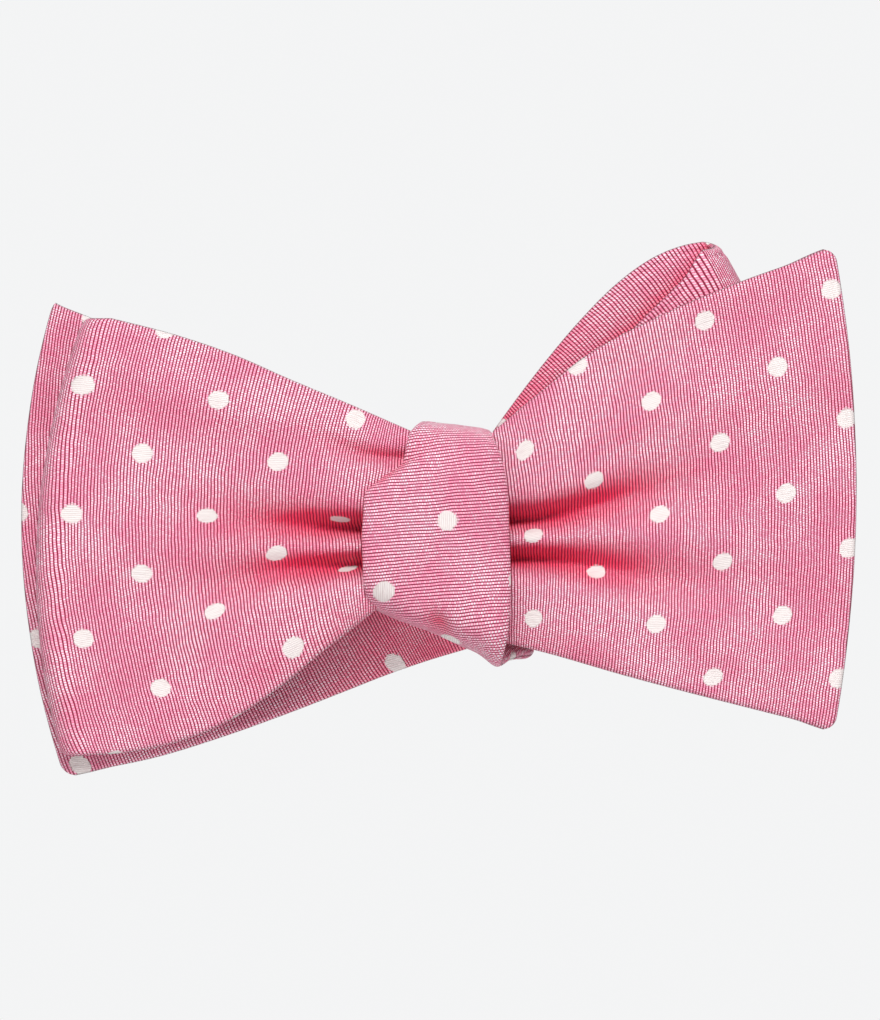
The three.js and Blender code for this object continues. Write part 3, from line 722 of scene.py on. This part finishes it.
def wing_row(wing, out, turn, v):
    """One row of a wing from its lower to its upper edge: the points, and the heights of its two edges."""
    gap = end_gap = 0 * v
    if "gap" in wing:
        left = 1 - wing["pinched"] * smooth(v, PINCHED_FROM, 1)
        gap = through(wing["gap"], out) * left
        end_gap = through(wing["gap"], 1.0) * left
    low_x = mix(wing["root_low"], wing["tip_low"], out)
    high_x = mix(wing["root_high"], wing["tip_high"], out)
    behind = smooth(turn, 0, math.pi)
    high = through(wing["high"], high_x)
    if "back_high" in wing:
        high = mix(high, through(wing["back_high"], high_x), behind)
    low = through(wing["low"], low_x)
    bow = wing["bow"] * mix(0.45, 1, out) * smooth(out, 0, 0.2)
    x = mix(low_x, high_x, v) + bow * 4 * v * (1 - v) - end_gap * out + gap * math.sin(turn)
    y = wing["y"] + wing["tip_y"] * out - gap * math.cos(turn)
    z = mix(low, high, v)
    # The outlines are drawn on the bow's front, so what lies behind it is larger by its distance.
    larger = 1 + (y - BOW_FACE_Y) / CAMERA_AWAY
    return x * larger, y, CAMERA_HEIGHT + (z - CAMERA_HEIGHT) * larger, low, high


def wing_cloth(wing, x, z, relief, deep, path, from_fold):
    """Each point's place in the flat cut: along the blade, and across it.

    The ribs run round the knot in arcs, by the wing's fan; from_fold is 0 at the wing's far end, and has the
    sign of the way along the blade that leads away from the knot.
    """
    step = np.hypot(np.diff(z, axis=1), np.diff(relief, axis=1)) * (1 + wing["tuck"] * deep[:, 1:])
    middle_x = x[:, x.shape[1] // 2]
    centre = through(wing["centre"], middle_x)[:, None]
    below = (z[:, 1:] + z[:, :-1]) / 2 < centre
    more = np.where(below, through(wing["more_low"], middle_x)[:, None],
                    through(wing["more_high"], middle_x)[:, None])
    across = np.concatenate([np.zeros((len(x), 1)), np.cumsum(step * more, axis=1)], axis=1)
    zero = [np.interp(c, heights, places) for c, heights, places in zip(centre[:, 0], z, across)]
    across = across - np.array(zero)[:, None]
    along = path[:, None] * wing["along"] - wing["grain"] * across
    along += wing["fan"] * from_fold * (across / FAN_ACROSS) ** 2
    turned = math.radians(wing["turned"])
    return np.stack([along * math.cos(turned) - across * math.sin(turned),
                     across * math.cos(turned) + along * math.sin(turned)], -1)


def round_the_corners(x, along, v, height):
    """Moves the points near the tip inward, along the blade, so that its two corners are round."""
    from_corner = np.abs(2 * v - 1) * height / 2 - (height / 2 - CORNER)
    t = np.clip(from_corner / CORNER, 0, 1)
    pull = CORNER * (1 - np.sqrt(np.maximum(1 - t * t, 0)))
    share = smooth(along, along.max() - CORNER_REACH, along.max())
    return x - pull[None, :] * share, along - pull[None, :] * share


def wing_grid(wing):
    """A wing's middle sheet, before it settles, with all that its blade needs at each point."""
    v = crowded(COLUMNS)
    stations = wing_stations("gap" in wing)
    rows = [wing_row(wing, out, turn, v) for out, turn in stations]
    x, y, z = (np.array([row[k] + 0 * v for row in rows]) for k in range(3))
    low, high = (np.array([row[k] for row in rows])[:, None] for k in (3, 4))
    turn = np.array([station[1] for station in stations])[:, None] + 0 * x
    relief, deep = wing_relief(wing, x, z, low, high)
    relief *= mix(1.0, 0.8, smooth(turn, 0, math.pi))
    steps = np.hypot(np.diff(x[:, COLUMNS // 2]), np.diff(y[:, COLUMNS // 2]))
    path = np.concatenate([[0], np.cumsum(steps)])
    from_fold = (1 - np.array([station[0] for station in stations])[:, None]) * np.cos(turn)
    cloth = wing_cloth(wing, x, z, relief, deep, path, from_fold)
    edge = np.minimum(v, 1 - v)[None, :] * (high - low)
    if "gap" not in wing:
        x, cloth[..., 0] = round_the_corners(x, cloth[..., 0], v, float(high[-1, 0] - low[-1, 0]))
        edge = np.minimum(edge, (path[-1] - path)[:, None] + 0 * x)
    return x, y, z, turn, relief, deep, cloth, edge


def wing_folds(wing, x, z, turn, relief, deep):
    """How much painted shade reddens each point, from 0 to 1, for the outer silk and for the inner silk.

    It is deepest in a fold and on faces that turn downward. The back loop's inner silk also gets painted
    shade where its front layer hides it from the light.
    """
    slope = np.gradient(relief, axis=1) / np.maximum(np.gradient(z, axis=1), 1e-6)
    # Painted shade: the wing turns redder toward the knot, where the knot shades it.
    shade = wing["knot_shade"] * (1 - smooth(x, 4, 34))
    # Painted shade: redder deep in a valley and on faces that turn downward.
    outer = np.clip(1.2 * deep + 0.6 * np.maximum(slope, 0) + shade, 0, 1)
    if "back_high" not in wing:
        return outer, outer
    above_front_edge = z - through(wing["high"], x)
    hidden = (1 - smooth(above_front_edge, -1, 6)) * smooth(turn, 1.5, 3)
    return outer, np.clip(outer + 0.9 * hidden, 0, 1)


def build_wing(name):
    wing = WINGS[name]
    side = wing["side"]
    x, y, z, turn, relief, deep, cloth, edge = wing_grid(wing)
    outer, inner = wing_folds(wing, x, z, turn, relief, deep)
    middle = np.stack([side * x, y - relief, z], -1)
    normal = np.stack([side * np.sin(turn), -np.cos(turn), 0 * turn], -1)
    free = smooth(edge, 1.5, 9) * smooth(np.minimum(x, 60), 11, 20) * (1 - np.sin(turn) ** 2)
    rest = np.stack([side * cloth[..., 0], 0 * x, cloth[..., 1]], -1)
    middle = settle(middle, rest, free)
    grids = [middle, normal, cloth - np.array(wing["phase"]), edge, outer, inner]
    if side < 0:
        grids = [grid[:, ::-1] for grid in grids]
    middle, normal, cloth, edge, outer, inner = grids
    place = wing["y"] * MM
    bend = ((side * ROOT_X * MM, place, 0), (side * (ROOT_X + BEND_LENGTH) * MM, place, 0))
    groove = OPEN_SEAM_GROOVE if "back_high" in wing else SEAM_GROOVE
    blade(name, name, middle, normal, cloth, edge, outer, inner, bend, groove)


for wing_name in WINGS:
    build_wing(wing_name)


# ---- the knot ----
def rounded_square(wave):
    return np.sign(wave) * np.abs(wave) ** KNOT_SQUARE


def knot_grid():
    """The wrap's middle sheet before its relief, the shares w across it, and its lowest and highest z."""
    turns = np.linspace(0, 1, KNOT_ROWS + 1)
    w = crowded(KNOT_COLUMNS)[None, :]
    angle = np.pi + 2 * np.pi * turns[:, None]
    top = through(KNOT_HIGH, w) - HALF
    bottom = through(KNOT_LOW, w) + HALF
    z = mix(bottom, top, (1 + rounded_square(np.sin(angle))) / 2)
    behind = (1 - rounded_square(np.cos(angle))) / 2
    fan = smooth(behind, 0.25, 0.8) * smooth(-np.sin(angle), 0.1, 0.9)
    right = through(KNOT_RIGHT, z) + KNOT_FAN * fan
    x = mix(through(KNOT_LEFT, z), right, w)
    z = z + KNOT_CORNER_LIFT * smooth(fan, 0, 0.45) * w ** 3
    crown = KNOT_CROWN * np.abs(2 * w - 1) ** 3.5
    y = mix(KNOT_REAR - HALF, KNOT_FRONT + HALF + crown, 1 - behind)
    return np.stack([x, y, z], -1), w, bottom, top


def outward_normals(base):
    """The normals of a closed sleeve, whose first and last rows meet."""
    normal = grid_normals(base)
    normal[0] = normal[-1] = normal[0] + normal[-1]
    normal /= np.linalg.norm(normal, axis=2, keepdims=True)
    if ((base - base.mean(axis=(0, 1))) * normal).sum() < 0:
        normal = -normal
    return normal


def knot_folds(x, y, z):
    """Where the wrap faces the viewer, its relief, and the painted shade that reddens its dimple and crease.
    """
    front = smooth(-y, -KNOT_FRONT - 9, -KNOT_FRONT - 2)
    lengthwise = (z + 12.4) * 0.8 - x * 0.6
    crosswise = (x + 0.1) * 0.8 + (z + 12.4) * 0.6
    dimple = np.exp(-(crosswise / 1.5) ** 2 - lengthwise ** 2 / 5)
    crease = np.exp(-((z - 10.2 - 0.55 * (x + 8)) / 1.1) ** 2) * smooth(-x, -1, 8)
    swell = 0.35 * np.sin(x / 3.4 + z / 8.0) + 0.25 * np.sin(z / 3.1 - x / 6.0)
    return front, front * (swell - 1.1 * dimple - 0.8 * crease), 0.7 * front * (dimple + 0.6 * crease)


def knot_cloth(x, y, z):
    """Each point's place in the wrap's flat cut, from the dot on its front: round the knot, and across."""
    steps = np.hypot(np.diff(y, axis=0), np.diff(z, axis=0))
    around = np.concatenate([np.zeros((1, x.shape[1])), np.cumsum(steps, axis=0)])
    is_front = y < (KNOT_FRONT + KNOT_REAR) / 2
    for j in range(x.shape[1]):
        above = (z[:, j] - KNOT_DOT[1] - KNOT_TILT * (x[:, j] - KNOT_DOT[0]))[is_front[:, j]]
        around[:, j] -= np.interp(0, above * np.sign(above[-1]), around[is_front[:, j], j])
    return np.stack([around, x - KNOT_DOT[0] + KNOT_LEAN * np.clip(z - KNOT_DOT[1], -20, 20)], -1)


def build_knot():
    base, w, bottom, top = knot_grid()
    x, y, z = np.moveaxis(base, -1, 0)
    normal = outward_normals(base)
    front, relief, painted_red_shade = knot_folds(x, y, z)
    cloth = knot_cloth(x, y, z)
    edge = np.minimum(w, 1 - w) * np.ptp(x, axis=1, keepdims=True)
    middle = base + normal * relief[..., None]
    free = 0.8 * smooth(edge, 1.2, 5) * front
    free = free * smooth(z, bottom + 1, bottom + 4)
    free = free * smooth(-z, -top + 1, -top + 4)
    rest = middle.mean(axis=(0, 1)) + (middle - middle.mean(axis=(0, 1))) * KNOT_SLACK
    middle = settle(middle, rest, free)
    blade("knot_wrap", "knot", middle, normal, cloth, edge, painted_red_shade)


build_knot()


# ---- the pleats inside the knot ----
def build_pinch(name, y):
    """The folded-up middle of a bow, as one pleated piece."""
    low, high = box_mm(name)
    stations = np.linspace(low[0], high[0], PLEAT_ROWS)
    x, share = np.meshgrid(stations, np.linspace(0, 1, PLEAT_COLUMNS), indexing="ij")
    z = mix(low[2], high[2], share)
    wave = y + PLEAT_HALF_DEPTH * np.sin(share * np.pi * PLEATS)
    near = np.stack([x, wave - PLEAT_HALF_CLOTH, z], -1)
    far = np.stack([x, wave + PLEAT_HALF_CLOTH, z], -1)
    cloth = np.stack([x, share * PLEATED_WIDTH], -1)
    piece = tidy_mesh(between(name + "_pleats", near, far, cloth))
    piece.data.materials.append(INNER_SILK)
    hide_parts(name)
    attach(piece, "knot")


build_pinch("front_pinch", FRONT_Y)
build_pinch("back_pinch", BACK_Y)


# ---- the neckband ----
def round_neck(radius, from_degrees, to_degrees, side, steps):
    """Points of an arc round the neck, in (x, y). Degrees count from the front; side is 1 for the right."""
    turn = np.radians(-90 + side * np.linspace(from_degrees, to_degrees, steps))
    return np.stack([radius * np.cos(turn), radius * np.sin(turn)], -1)


def path_normals(path):
    along = np.gradient(path, axis=0)
    along /= np.linalg.norm(along, axis=1, keepdims=True)
    return np.stack([along[:, 1], -along[:, 0]], -1)


def path_length(path):
    return np.concatenate([[0], np.cumsum(np.linalg.norm(np.diff(path, axis=0), axis=1))])


def standing(path, heights, offset):
    """A grid of points over a path: at each height, and moved sideways by that height's offset."""
    moved = path[:, None] + path_normals(path)[:, None] * offset[None, :, None]
    tall = np.repeat(heights[None, :, None], len(path), axis=0)
    return np.concatenate([moved, tall], -1)


def build_band(name, side, end):
    """One half of the neckband: the blade's narrow stretch, from behind the knot to its fastener."""
    path = round_neck(BAND_OUT - HALF, BAND_START, end, side, int(end * BAND_ROWS_PER_DEGREE))
    v = crowded(BAND_COLUMNS)
    middle = standing(path, mix(-BAND_TOP, BAND_TOP, v), 0 * v)
    out = path / np.linalg.norm(path, axis=1, keepdims=True)
    normal = np.repeat(np.concatenate([out, 0 * out[:, :1]], 1)[:, None], len(v), axis=1)
    cloth = np.stack([path_length(path)[:, None] + 0 * v, middle[..., 2]], -1)
    edge = np.repeat(np.minimum(v, 1 - v)[None, :] * 2 * BAND_TOP, len(path), axis=0)
    ripple = 0.1 * np.sin(cloth[..., 0] / 5.0) * np.cos(cloth[..., 1] / 4.0)
    blade(name, "neckband", middle + normal * ripple[..., None], normal, cloth, edge)


for band_name, (band_side, band_end) in BAND_ENDS.items():
    build_band(band_name, band_side, band_end)


# ---- ribbon, tab and labels ----
def build_strip(name, node, path, thickness, material, round_edge=STRIP_ROUND):
    """A strip of cloth on edge along a path, which replaces a CAD node of the same height."""
    low, high = box_mm(node)
    v = crowded(STRIP_COLUMNS)
    heights = mix(low[2], high[2], v)
    edge = np.minimum(v, 1 - v) * (high[2] - low[2])
    half = thickness / 2 * np.sqrt(1 - (1 - np.clip(edge / round_edge, 0, 1)) ** 2)
    cloth = np.stack([path_length(path)[:, None] + 0 * v, heights + 0 * path[:, :1]], -1)
    piece = tidy_mesh(between(name, standing(path, heights, half), standing(path, heights, -half), cloth))
    piece.data.materials.append(material)
    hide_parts(node)
    return piece


def folded_path(side, start, home):
    """Out along the neck, round a fastener's bar, and home for a short way inside."""
    to_bar = 180 - math.degrees(math.asin(HOOK_BAR_X / STRAP_RADIUS))
    leg = round_neck(STRAP_RADIUS, start, to_bar, side, int((to_bar - start) * 0.8) + 6)
    turn = np.linspace(0, math.pi, 16)[1:]
    centre = leg[-1] - np.array([0, FOLD_RADIUS])
    fold = centre + FOLD_RADIUS * np.stack([-side * np.sin(turn), np.cos(turn)], -1)
    back = fold[-1] + np.array([side, 0]) * np.linspace(0.3, home, 4)[:, None]
    return np.concatenate([leg, fold, back])


def build_straps():
    strap = build_strip("strap_ribbon", "adjuster_strap", folded_path(-1, STRAP_START, STRAP_HOME),
                        STRAP_THICK, RIBBON)
    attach(strap, "neckband")
    tab = build_strip("eye_tab_cloth", "eye_tab", folded_path(1, TAB_START, TAB_HOME),
                      STRAP_THICK, SILK_FACE)
    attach(tab, "neckband")
    home = build_strip("return_ribbon", "strap_return_run", round_neck(RETURN_RADIUS, *RETURN_TURNS, -1, 44),
                       STRAP_THICK, RETURN_RIBBON)
    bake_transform(home)


def build_label(node, turns):
    label = build_strip(node + "_satin", node, round_neck(LABEL_RADIUS, *turns, 1, 40),
                        LABEL_THICK, LABEL, LABEL_ROUND)
    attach(label, "neckband")


build_straps()
for label_node, label_turns in LABEL_TURNS.items():
    build_label(label_node, label_turns)


# ---- stitching ----
def threads(node, runs):
    """Stitches in place of a CAD node: a thin round thread through each run of points, all in one piece."""
    verts, faces = [], []
    ring = np.linspace(0, 2 * np.pi, THREAD_SIDES + 1)[:-1]
    for run in runs:
        along = np.gradient(run, axis=0)
        along /= np.linalg.norm(along, axis=1, keepdims=True)
        side = np.cross(along, [0, 0, 1])
        side /= np.linalg.norm(side, axis=1, keepdims=True)
        up = np.cross(side, along)
        first = len(verts)
        for k, point in enumerate(run):
            circle = [side[k] * math.cos(a) + up[k] * math.sin(a) for a in ring]
            verts.extend(point + THREAD_RADIUS * spoke for spoke in circle)
        for k in range(first, len(verts) - THREAD_SIDES, THREAD_SIDES):
            for m in range(THREAD_SIDES):
                a, b = k + m, k + (m + 1) % THREAD_SIDES
                faces.append([a, b, b + THREAD_SIDES, a + THREAD_SIDES])
        faces.append(list(range(first, first + THREAD_SIDES))[::-1])
        faces.append(list(range(len(verts) - THREAD_SIDES, len(verts))))
    piece = make_object(node + "_stitches", np.array(verts), faces)
    piece.data.materials.append(THREAD)
    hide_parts(node)
    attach(piece, "neckband")


def build_tack(node):
    """A bar tack: close zigzag stitches, one above the other up the height of the CAD's tack."""
    low, high = box_mm(node)
    centre = (low + high) / 2
    radius = math.hypot(centre[0], centre[1])
    out = np.array([centre[0], centre[1], 0]) / radius
    beside = np.cross([0, 0, 1], out)
    count = int((high[2] - low[2]) / TACK_PITCH)
    runs = []
    for k in range(count):
        z = low[2] + TACK_PITCH * (k + 0.5)
        t = np.linspace(-1, 1, TACK_POINTS)
        arch = TACK_ARCH * (1 - t ** 4)
        slope = (1 if k % 2 else -1) * TACK_PITCH * 0.4 * t
        runs.append(out * (radius - TACK_SINK) + out * arch[:, None] + beside * TACK_HALF_WIDTH * t[:, None]
                    + np.array([0, 0, 1]) * (z + slope)[:, None])
    threads(node, runs)


for tack in ("strap_tack", "strap_end_tack", "eye_tab_tack"):
    build_tack(tack)


# ---- metal ----
def build_metal(node):
    """A CAD fastener with its edges rounded, as cast and plated metal has them."""
    mesh = bpy.data.objects[node].data.copy()
    piece = add_object(node + "_metal", mesh)
    mesh.materials.clear()
    mesh.materials.append(METAL)
    bm = bmesh.new()
    bm.from_mesh(mesh)
    bmesh.ops.remove_doubles(bm, verts=bm.verts, dist=1e-6)
    bmesh.ops.dissolve_limit(bm, angle_limit=METAL_FLAT, verts=bm.verts, edges=bm.edges)
    sharp = [e for e in bm.edges if len(e.link_faces) == 2 and e.calc_face_angle(0) > METAL_SHARP]
    bmesh.ops.bevel(bm, geom=sharp, offset=METAL_ROUND * MM, segments=3, profile=0.5, affect="EDGES",
                    clamp_overlap=True)
    bm.to_mesh(mesh)
    bm.free()
    mesh.polygons.foreach_set("use_smooth", [True] * len(mesh.polygons))
    weighted = piece.modifiers.new("weighted", "WEIGHTED_NORMAL")
    weighted.keep_sharp = False
    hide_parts(node)
    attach(piece, node)


for fastener in ("slider", "hook", "eye"):
    build_metal(fastener)


# ---- camera, light and floor ----
def set_camera():
    data = bpy.data.cameras.new("camera")
    data.sensor_fit = "VERTICAL"
    data.sensor_height = SENSOR
    data.lens = SENSOR * CAMERA_AWAY / FRAME_HEIGHT
    data.clip_start = 0.01
    data.clip_end = 50
    camera = add_object("camera", data)
    camera.location = Vector((0, BOW_FACE_Y - CAMERA_AWAY, CAMERA_HEIGHT)) * MM
    camera.rotation_euler = (math.pi / 2, 0, 0)
    bpy.context.scene.camera = camera


def add_area(name, place, size, watts):
    data = bpy.data.lights.new(name, "AREA")
    data.size = size
    data.energy = watts
    light = add_object(name, data)
    light.location = place
    aim = Vector(LIGHT_AIM) - Vector(place)
    light.rotation_euler = aim.to_track_quat("-Z", "Y").to_euler()


def set_world():
    world = bpy.data.worlds.new("studio")
    world.use_nodes = True
    w = Wires(world.node_tree)
    background = world.node_tree.nodes["Background"]
    background.inputs["Color"].default_value = (0.97, 0.975, 0.98, 1)
    seen = w.node("ShaderNodeLightPath").outputs["Is Camera Ray"]
    w.put(background.inputs["Strength"], w.ramp(seen, 0.0, 1.0, WORLD_LIGHT, BACKDROP_LIGHT, "LINEAR"))
    bpy.context.scene.world = world
    bpy.context.scene.view_settings.view_transform = "Standard"


def set_floor():
    turns = np.linspace(0, 2 * math.pi, FLOOR_SIDES + 1)[:-1]
    ring = [(math.cos(a) * FLOOR_RADIUS, math.sin(a) * FLOOR_RADIUS, FLOOR_Z) for a in turns]
    mesh = bpy.data.meshes.new("floor")
    mesh.from_pydata(ring, [], [list(range(FLOOR_SIDES))])
    floor = add_object("floor", mesh)
    material, w, shader = new_material("floor", Roughness=0.9)
    tone = w.noise(w.object_place(), 3.0)
    w.put(shader.inputs["Base Color"], w.blend(tone, (0.84, 0.84, 0.84, 1), (0.88, 0.88, 0.88, 1)))
    mesh.materials.append(material)


set_world()
set_floor()
for light_name, (light_place, light_size, light_watts) in LIGHTS.items():
    add_area(light_name, light_place, light_size, light_watts)
set_camera()
